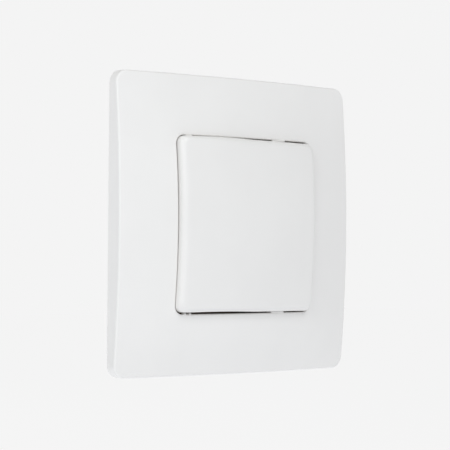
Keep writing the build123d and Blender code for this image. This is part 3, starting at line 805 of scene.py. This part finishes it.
@dataclass(frozen=True)
class Rocker:
    """Crowned cap that tilts on two side pins and sits a little askew in its window, in millimetres.

    Attributes:
        form: Surface that the crown follows.
        size: Side of the square cap.
        corner: Radius of its corners.
        edge: Radius of its front edge.
        proud: Height of the crown above the plate's surface.
        wall: Thickness of the crown.
        skirt: Thickness of the skirt.
        skirt_back: Height of the skirt's back edge.
        pin: Diameter of a pin.
        pin_ends: Distances of a pin's outer and inner end from the middle.
        pin_height: Height of the pins.
        pin_chamfer: Chamfer at the pins' ends.
        bearing: Diameter of a bearing face.
        bearing_place: Distance of the bearing faces from the middle.
        bearing_drop: Distance of the bearing faces from the crown's underside.
        warp_deg: Slope that the moulding's upper edge has drawn to, up towards the left.
        bow: How far the moulding has bowed upwards.
        bow_ends: Ends of the bowed stretch along X.
        turn_deg: Turn of the cap in its window.
        shift: Move of the cap in its window, along X and Z.
        rings: Rings that the crown is drawn in.
        front_margin: About how far the front's first ring lies inside its edge.
        under_margin: About how far the underside's first ring lies inside its edge.
        side_cuts: Cuts along each side.
        bearing_sides: Sides that a bearing face is drawn with.
        pin_sides: Sides that a pin is drawn with.
    """

    form: PillowForm
    size: float = 47.6
    corner: float = 2.2
    edge: float = 1.5
    proud: float = 2.1
    wall: float = 1.6
    skirt: float = 1.4
    skirt_back: float = 4.93
    pin: float = 2.4
    pin_ends: tuple[float, float] = (23.1, 20.75)
    pin_height: float = 6.4
    pin_chamfer: float = 0.3
    bearing: float = 7.0
    bearing_place: float = 15.0
    bearing_drop: float = 0.25
    warp_deg: float = 0.13
    bow: float = 0.155
    bow_ends: tuple[float, float] = (-19.6, 2.0)
    turn_deg: float = 0.28
    shift: tuple[float, float] = (-0.16, 0.066)
    rings: int = 16
    front_margin: float = 1.8
    under_margin: float = 2.0
    side_cuts: int = 23
    bearing_sides: int = 40
    pin_sides: int = 32

    @property
    def parking(self) -> float:
        """Height well in front of the part, where a flat face is divided before it gets its shape."""
        return 2 * self.form.span

    def front_height(self, x: float, z: float) -> float:
        """Height of the crown's front at X and Z."""
        return self.form.height(x, z) + self.proud

    def under_height(self, x: float, z: float) -> float:
        """Height of the crown's underside at X and Z."""
        return self.form.height(x, z) + self.proud - self.wall

    def make(self) -> list[bpy.types.Object]:
        """Builds the cap and hangs it on its body.

        Returns:
            The finished cap alone.
        """
        square = (self.size, self.size)
        work = rounded_sheet("rocker_cap", *square, self.corner, self.skirt_back, self.side_cuts)
        self.raise_crown(work)
        self.hollow(work)
        self.add_bearings(work)
        self.warp(work)
        self.settle(work)
        self.add_pins(work)
        cap = work.done()
        dress(cap, FINISHES["rocker_white"], "rocker_cap_white")
        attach(cap, "rocker")
        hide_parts("rocker")
        return [cap]

    def crown(self, work: Workpiece, surface: Surface, margin: float) -> None:
        """Divides the selected face into rings and lays it on a surface.

        Args:
            work: The cap, with a flat face selected at the parking height.
            surface: Height of the surface at X and Z.
            margin: About how far the first ring lies inside the face's edge.
        """
        shares = [1 - margin / (self.size / 2)]
        shares += [1 - step / self.rings for step in range(2, self.rings)]
        before = 1.0
        for share in shares:
            work.push(0)
            work.scale_by(share / before, share / before)
            before = share
        bpy.ops.mesh.poke()
        work.raise_to(self.parking, surface)

    def raise_crown(self, work: Workpiece) -> None:
        """Extrudes the walls, and crowns and rounds the front.

        Args:
            work: The flat sheet, selected.
        """
        work.push(self.parking - self.skirt_back)
        self.crown(work, self.front_height, self.front_margin)
        middle = -self.pin_height
        work.pick(
            Element.EDGE,
            lambda edge: is_corner(edge) and max(end.co.y for end in edge.verts) < middle,
        )
        bpy.ops.mesh.bevel(offset=self.edge, segments=ROUND_STEPS, profile=0.5)

    def hollow(self, work: Workpiece) -> None:
        """Sinks the underside into the cap, inside the skirt.

        Args:
            work: The cap with its walls and front.
        """
        back = -self.skirt_back
        work.pick(Element.FACE, lambda face: abs(face.calc_center_median().y - back) < NEAR)
        bpy.ops.mesh.inset(thickness=self.skirt)
        work.push(self.parking - self.skirt_back)
        self.crown(work, self.under_height, self.under_margin)

    def add_bearings(self, work: Workpiece) -> None:
        """Adds the two round bearing faces for the tappets, rooted half-way into the crown.

        Args:
            work: The hollow cap.
        """
        for side in (1, -1):
            place = side * self.bearing_place
            under = self.under_height(0, place)
            face = under - self.bearing_drop
            root = under + self.wall / 2
            work.pick_none()
            bpy.ops.mesh.primitive_cylinder_add(
                vertices=self.bearing_sides,
                radius=self.bearing / 2,
                depth=root - face,
                location=(0, -(face + root) / 2, place),
                rotation=(math.pi / 2, 0, 0),
            )
            work.work_in(Merge.JOIN)

    def warp(self, work: Workpiece) -> None:
        """Slopes the upper half and bows the whole, as the moulding cooled.

        Args:
            work: The cap with its bearing faces.
        """
        slope = math.tan(math.radians(self.warp_deg))
        first, last = self.bow_ends
        mesh = bmesh.from_edit_mesh(work.piece.data)
        for vertex in mesh.verts:
            along = min(1.0, max(0.0, (vertex.co.x - first) / (last - first)))
            upper = max(0.0, vertex.co.z) / (self.size / 2)
            vertex.co.z += self.bow * math.sin(math.pi * along) - slope * vertex.co.x * upper
        bmesh.update_edit_mesh(work.piece.data)

    def settle(self, work: Workpiece) -> None:
        """Turns and moves the cap to where it sits in its window.

        Args:
            work: The warped cap.
        """
        turn = -math.radians(self.turn_deg)
        work.pick_all()
        bpy.ops.transform.rotate(value=turn, orient_axis="Y", center_override=(0, 0, 0))
        bpy.ops.transform.translate(value=(self.shift[0], 0, self.shift[1]))

    def add_pins(self, work: Workpiece) -> None:
        """Adds the two pins inside the skirt, in line with the carrier's bores.

        Args:
            work: The cap in its place.
        """
        outer, inner = self.pin_ends
        for side in (1, -1):
            tip = side * inner
            work.pick_none()
            bpy.ops.mesh.primitive_cylinder_add(
                vertices=self.pin_sides,
                radius=self.pin / 2,
                depth=outer - inner,
                location=(side * (outer + inner) / 2, -self.pin_height, 0),
                rotation=(0, math.pi / 2, 0),
            )
            work.pick(Element.EDGE, lambda edge: all(abs(end.co.x - tip) < NEAR for end in edge.verts))
            bpy.ops.mesh.bevel(offset=self.pin_chamfer, segments=1)
            work.work_in(Merge.JOIN)


@dataclass(frozen=True)
class ReturnSprings:
    """Two wire springs that stand between the carrier and the tappets' heads, in millimetres.

    Attributes:
        wire: Diameter of the wire.
        diameter: Diameter over the coil.
        turns: Turns of the coil.
        seat: Height of the carrier's seat.
        head: Height of the back of a tappet's head.
        end_gap: Gap at each end of the coil.
        places: Place along Z, by tappet.
        sides: Sides that the wire is drawn with.
        steps: Steps in one turn.
        sharp_deg: Angle above which an edge stays sharp.
    """

    wire: float = 0.35
    diameter: float = 5.9
    turns: float = 2.5
    seat: float = 7.45
    head: float = 9.61
    end_gap: float = 0.02
    places: tuple[tuple[str, float], ...] = (("upper", 15.0), ("lower", -15.0))
    sides: int = 12
    steps: int = 40
    sharp_deg: float = 60.0

    def make(self) -> list[bpy.types.Object]:
        """Winds one spring and copies it to both tappets.

        Returns:
            The springs.
        """
        coil = self.wind()
        dress(coil, FINISHES["spring_steel"], "return_spring_wire")
        springs = []
        for name, z in self.places:
            spring = copy_to(coil, f"{name}_return_coil", Vector((0, 0, z)) * MM)
            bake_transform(spring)
            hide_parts(f"{name}_return_spring")
            springs.append(spring)
        bpy.data.objects.remove(coil)
        return springs

    def wind(self) -> bpy.types.Object:
        """Winds the wire's section into a coil and closes its ends.

        Returns:
            The coil, about the middle.
        """
        first = self.seat + self.end_gap + self.wire / 2
        last = self.head - self.end_gap - self.wire / 2
        bpy.ops.object.select_all(action="DESELECT")
        bpy.ops.mesh.primitive_circle_add(
            vertices=self.sides,
            radius=self.wire / 2,
            location=((self.diameter - self.wire) / 2, -first, 0),
        )
        work = Workpiece("return_coil")
        bpy.ops.object.mode_set(mode="OBJECT")
        screw = work.piece.modifiers.new("winding", "SCREW")
        screw.axis = "Y"
        screw.angle = math.tau * self.turns
        screw.screw_offset = first - last
        screw.steps = screw.render_steps = round(self.turns * self.steps)
        bpy.ops.object.modifier_apply(modifier=screw.name)
        bpy.ops.object.mode_set(mode="EDIT")
        work.pick_all()
        bpy.ops.mesh.fill_holes(sides=self.sides)
        return work.done(self.sharp_deg)


@dataclass(frozen=True)
class AdhesivePads:
    """Four foam pads in the base's back, each under a release liner, in millimetres.

    Attributes:
        width: Size of a pad and its liner along X.
        height: Size of a pad and its liner along Z.
        corner: Radius of their corners.
        thickness: Thickness of a pad with its liner.
        liner: Thickness of the liner.
        liner_edge: Radius of the liner's edges.
        bulge: How far the foam's sides swell at half its thickness.
        spread: Distances of the pads' middles from the base's middle, along X and Z.
        layers: Steps that the swelling is drawn in.
        side_cuts: Cuts along each side.
        sharp_deg: Angle above which an edge of the foam stays sharp.
    """

    width: float = 9.0
    height: float = 22.0
    corner: float = 1.5
    thickness: float = 0.8
    liner: float = 0.1
    liner_edge: float = 0.025
    bulge: float = 0.1
    spread: tuple[float, float] = (31.1, 18.0)
    layers: int = 6
    side_cuts: int = 8
    sharp_deg: float = 60.0

    def make(self) -> list[bpy.types.Object]:
        """Builds one pad and one liner and copies them to their places.

        Returns:
            The pads and liners.
        """
        foam = self.make_foam()
        dress(foam, FINISHES["pad_foam"], "pad_foam_cells")
        liner = self.make_liner()
        dress(liner, LinerPaper(), "pad_liner_paper")
        pads = spread_out(foam, "foam_pad", self.spread)
        liners = spread_out(liner, "pad_liner", self.spread)
        for piece in pads + liners:
            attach(piece, "housing")
            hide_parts("adhesive_pads")
        return pads + liners

    def make_foam(self) -> bpy.types.Object:
        """Builds one pad with softly swollen sides.

        Returns:
            The pad, at the middle of the base.
        """
        narrow = (self.width - 2 * self.bulge, self.height - 2 * self.bulge)
        work = rounded_sheet("foam_pad", *narrow, self.corner, self.liner, self.side_cuts)
        step = (self.thickness - self.liner) / self.layers
        before = narrow
        for layer in range(1, self.layers + 1):
            swell = 2 * self.bulge * math.sin(math.pi * layer / self.layers)
            size = (narrow[0] + swell, narrow[1] + swell)
            work.push(step)
            work.scale_by(size[0] / before[0], size[1] / before[1])
            before = size
        return work.done(self.sharp_deg)

    def make_liner(self) -> bpy.types.Object:
        """Builds one liner with softened edges.

        Returns:
            The liner, at the middle of the base.
        """
        wall = 0.0
        work = rounded_sheet("pad_liner", self.width, self.height, self.corner, wall, self.side_cuts)
        work.push(self.liner)
        work.pick(Element.EDGE, is_corner)
        bpy.ops.mesh.bevel(offset=self.liner_edge, segments=2, profile=0.5)
        return work.done()


@dataclass(frozen=True)
class HousingScrews:
    """Four self-tapping screws with pan heads and a cross drive, in millimetres.

    Attributes:
        tip: Height of the point's end.
        blunt: Diameter of the point's end.
        point: Length of the point.
        seat: Height of the head's underside.
        shank: Diameter over the thread.
        core: Diameter between the thread's turns.
        pitch: Distance between two turns.
        flank_share: Share of the pitch that each of a turn's two flanks takes.
        land_share: Share of the pitch that its crest and its root take each.
        head: Diameter of the head.
        head_height: Height of the head.
        head_chamfer: Chamfer round the head's top.
        drive: Length, width and depth of one slot of the drive.
        spread: Distances of the screws from the middle, along X and Z.
        sides: Sides that a screw is drawn with.
    """

    tip: float = 0.8
    blunt: float = 0.2
    point: float = 0.6
    seat: float = 3.66
    shank: float = 2.0
    core: float = 1.6
    pitch: float = 0.5
    flank_share: float = 0.4
    land_share: float = 0.1
    head: float = 4.0
    head_height: float = 1.2
    head_chamfer: float = 0.4
    drive: tuple[float, float, float] = (2.4, 0.6, 0.6)
    spread: tuple[float, float] = (20.0, 27.6)
    sides: int = 40

    def make(self) -> list[bpy.types.Object]:
        """Builds one screw and copies it to its places.

        Returns:
            The screws.
        """
        bpy.ops.object.select_all(action="DESELECT")
        bpy.ops.mesh.primitive_circle_add(
            vertices=self.sides,
            radius=self.blunt / 2,
            fill_type="NGON",
            location=(0, -self.tip, 0),
            rotation=(math.pi / 2, 0, 0),
        )
        work = Workpiece("housing_screw")
        self.draw_out(work)
        self.cut_drive(work)
        screw = work.done()
        dress(screw, FINISHES["screw_steel"], "housing_screw_zinc")
        screws = spread_out(screw, "housing_screw", self.spread)
        for piece in screws:
            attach(piece, "housing")
            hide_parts("housing_screws")
        return screws

    def draw_out(self, work: Workpiece) -> None:
        """Draws the screw out from its point to the top of its head.

        Args:
            work: The disc at the point's end.
        """
        threaded = self.seat - self.tip - self.point
        turns = int(threaded / self.pitch)
        flank, land = self.flank_share * self.pitch, self.land_share * self.pitch
        steps = [(self.point, self.core)]
        for _ in range(turns):
            steps += [(flank, self.shank), (land, self.shank), (flank, self.core), (land, self.core)]
        steps += [
            (threaded - turns * self.pitch, self.core),
            (0.0, self.head),
            (self.head_height - self.head_chamfer, self.head),
            (self.head_chamfer, self.head - 2 * self.head_chamfer),
        ]
        before = self.blunt
        work.pick_all()
        for forward, diameter in steps:
            work.push(forward)
            work.scale_by(diameter / before, diameter / before)
            before = diameter

    def cut_drive(self, work: Workpiece) -> None:
        """Sinks the cross drive into the head.

        Args:
            work: The screw with its plain head.
        """
        length, width, depth = self.drive
        top = self.seat + self.head_height
        for size in ((length, 2 * depth, width), (width, 2 * depth, length)):
            work.pick_none()
            bpy.ops.mesh.primitive_cube_add(size=1, location=(0, -top, 0), scale=size)
            work.work_in(Merge.CUT)


@dataclass(frozen=True)
class PhotoCamera:
    """Camera at the photograph's viewing angle.

    Attributes:
        place: Place of the lens in the part's frame, in millimetres.
        yaw_deg: Turn to the right from looking along +Y.
        pitch_deg: Tilt upwards.
        roll_deg: Turn about the line of sight.
        lens: Focal length for the sensor width, in millimetres.
        sensor: Sensor width, in millimetres.
    """

    place: tuple[float, float, float] = (-294.45, -359.78, -7.32)
    yaw_deg: float = 39.203
    pitch_deg: float = 0.939
    roll_deg: float = 0.432
    lens: float = 132.4
    sensor: float = 36.0

    def make(self) -> bpy.types.Object:
        """Adds the camera and makes it the scene's own.

        Returns:
            The camera object.
        """
        yaw, pitch, roll = map(math.radians, (self.yaw_deg, self.pitch_deg, self.roll_deg))
        ahead = math.cos(pitch)
        forward = Vector((math.sin(yaw) * ahead, math.cos(yaw) * ahead, math.sin(pitch)))
        level = Vector((math.cos(yaw), -math.sin(yaw), 0.0))
        upward = level.cross(forward)
        right = math.cos(roll) * level + math.sin(roll) * upward
        top = math.cos(roll) * upward - math.sin(roll) * level
        turn = Matrix((right, top, -forward)).transposed()
        bpy.ops.object.camera_add()
        camera = bpy.context.object
        camera.name = "photo_camera"
        camera.data.lens = self.lens
        camera.data.sensor_width = self.sensor
        camera.matrix_world = Matrix.Translation(Vector(self.place) * MM) @ turn.to_4x4()
        bpy.context.scene.camera = camera
        return camera


@dataclass(frozen=True)
class SoftBox:
    """One square studio light that faces the object.

    Attributes:
        name: Light's name.
        azimuth_deg: Direction of the light, to the left of the room side.
        elevation_deg: Direction of the light above the level.
        power: Power in watts.
        tone: Linear colour.
        distance: Distance from the object, in metres.
        side: Side of its square face, in metres.
    """

    name: str
    azimuth_deg: float
    elevation_deg: float
    power: float
    tone: Tone
    distance: float = 1.3
    side: float = 0.7

    def make(self) -> bpy.types.Object:
        """Adds the light, turned to face the object.

        Returns:
            The light object.
        """
        azimuth, elevation = math.radians(self.azimuth_deg), math.radians(self.elevation_deg)
        level = math.cos(elevation)
        away = Vector((-math.sin(azimuth) * level, -math.cos(azimuth) * level, math.sin(elevation)))
        bpy.ops.object.light_add(type="AREA", location=away * self.distance)
        lamp = bpy.context.object
        lamp.name = self.name
        lamp.data.size = self.side
        lamp.data.energy = self.power
        lamp.data.color = self.tone
        lamp.rotation_euler = (-away).to_track_quat("-Z", "Y").to_euler()
        return lamp


@dataclass(frozen=True)
class Studio:
    """Plain pale floor that throws light back up, a soft sky and soft boxes.

    Attributes:
        backdrop: Linear grey that the camera sees behind the object.
        sky: Linear colour of the light from the sky.
        bounce: Linear colour of the light from the floor.
        floor_shown: Linear grey that the camera sees on the floor.
        floor_tone: Linear grey of the floor's own surface.
        floor_height: Height of the floor, in metres.
        floor_side: Side of the floor, in metres.
        shadow_share: Share of the floor's look that comes from light and shadow.
        boxes: The soft boxes.
    """

    backdrop: float = 0.905
    sky: Tone = (0.187, 0.19, 0.2)
    bounce: Tone = (1.125, 1.165, 1.23)
    floor_shown: float = 0.926
    floor_tone: float = 0.8
    floor_height: float = -0.16
    floor_side: float = 6.0
    shadow_share: float = 0.03
    boxes: tuple[SoftBox, ...] = (
        SoftBox("front_box", azimuth_deg=0, elevation_deg=47, power=6.8, tone=(0.955, 0.98, 1.0), side=0.5),
        SoftBox("left_box", azimuth_deg=67, elevation_deg=27, power=6.75, tone=(0.93, 0.97, 1.0)),
        SoftBox("rear_box", azimuth_deg=180, elevation_deg=12, power=4.0, tone=(1.0, 0.97, 0.9)),
    )

    def make(self) -> None:
        """Adds floor, sky and lights."""
        self.make_floor()
        self.make_sky()
        for box in self.boxes:
            box.make()

    def seen(self, tree: bpy.types.NodeTree) -> bpy.types.NodeSocket:
        """Value that is 1 on what the camera, a gloss or a clear piece sees.

        Args:
            tree: Node tree to work in.

        Returns:
            The value.
        """
        path = tree.nodes.new("ShaderNodeLightPath")
        result = path.outputs["Is Camera Ray"]
        for other in ("Is Glossy Ray", "Is Transmission Ray"):
            either = tree.nodes.new("ShaderNodeMath")
            either.operation = "MAXIMUM"
            tree.links.new(result, either.inputs[0])
            tree.links.new(path.outputs[other], either.inputs[1])
            result = either.outputs["Value"]
        return result

    def make_floor(self) -> None:
        """Adds the floor, which shows nearly the backdrop's grey and keeps a soft shadow."""
        bpy.ops.mesh.primitive_plane_add(size=self.floor_side, location=(0, 0, self.floor_height))
        floor = bpy.context.object
        floor.name = "studio_floor"
        graph = ShaderGraph("floor_pale")
        matt = graph.add("ShaderNodeBsdfDiffuse")
        matt.inputs["Color"].default_value = (*grey(self.floor_tone), 1.0)
        glow = graph.add("ShaderNodeEmission")
        shown = graph.ramp(self.seen(graph.tree), self.bounce, grey(self.floor_shown), ends=(0.0, 1.0))
        graph.link(shown, glow.inputs["Color"])
        mix = graph.add("ShaderNodeMixShader")
        mix.inputs["Fac"].default_value = 1.0 - self.shadow_share
        graph.link(matt.outputs["BSDF"], mix.inputs[1])
        graph.link(glow.outputs["Emission"], mix.inputs[2])
        graph.link(mix.outputs["Shader"], graph.output.inputs["Surface"])
        floor.data.materials.append(graph.material)

    def make_sky(self) -> None:
        """Sets a sky that lights the object and shows as the plain backdrop."""
        world = bpy.data.worlds.new("studio_sky")
        world.use_nodes = True
        tree = world.node_tree
        tree.nodes.clear()
        shown, lit = (tree.nodes.new("ShaderNodeBackground") for _ in range(2))
        shown.inputs["Color"].default_value = (*grey(self.backdrop), 1.0)
        lit.inputs["Color"].default_value = (*self.sky, 1.0)
        mix = tree.nodes.new("ShaderNodeMixShader")
        tree.links.new(self.seen(tree), mix.inputs["Fac"])
        tree.links.new(lit.outputs["Background"], mix.inputs[1])
        tree.links.new(shown.outputs["Background"], mix.inputs[2])
        output = tree.nodes.new("ShaderNodeOutputWorld")
        tree.links.new(mix.outputs["Shader"], output.inputs["Surface"])
        bpy.context.scene.world = world


def dress_nodes() -> None:
    """Gives every CAD node the finish of its material slot."""
    made = {slot: finish.make(slot) for slot, finish in FINISHES.items()}
    for row in frame["record"]["subparts"]:
        node = frame["nodes"][row["node"]]
        node.data.materials.clear()
        node.data.materials.append(made[row["material_slot"]])
        log.info("dressed %s in %s", row["node"], row["material_slot"])


def main() -> None:
    """Builds the scene in order."""
    logging.basicConfig(level=logging.INFO, format="%(name)s: %(message)s")
    bpy.ops.object.select_all(action="DESELECT")
    bpy.context.scene.view_settings.view_transform = "Standard"
    PhotoCamera().make()
    Studio().make()
    dress_nodes()
    for assembly in (Rocker(PillowForm()), ReturnSprings(), AdhesivePads(), HousingScrews()):
        for piece in assembly.make():
            log.info("built %s", piece.name)


if __name__ == "__main__":
    main()
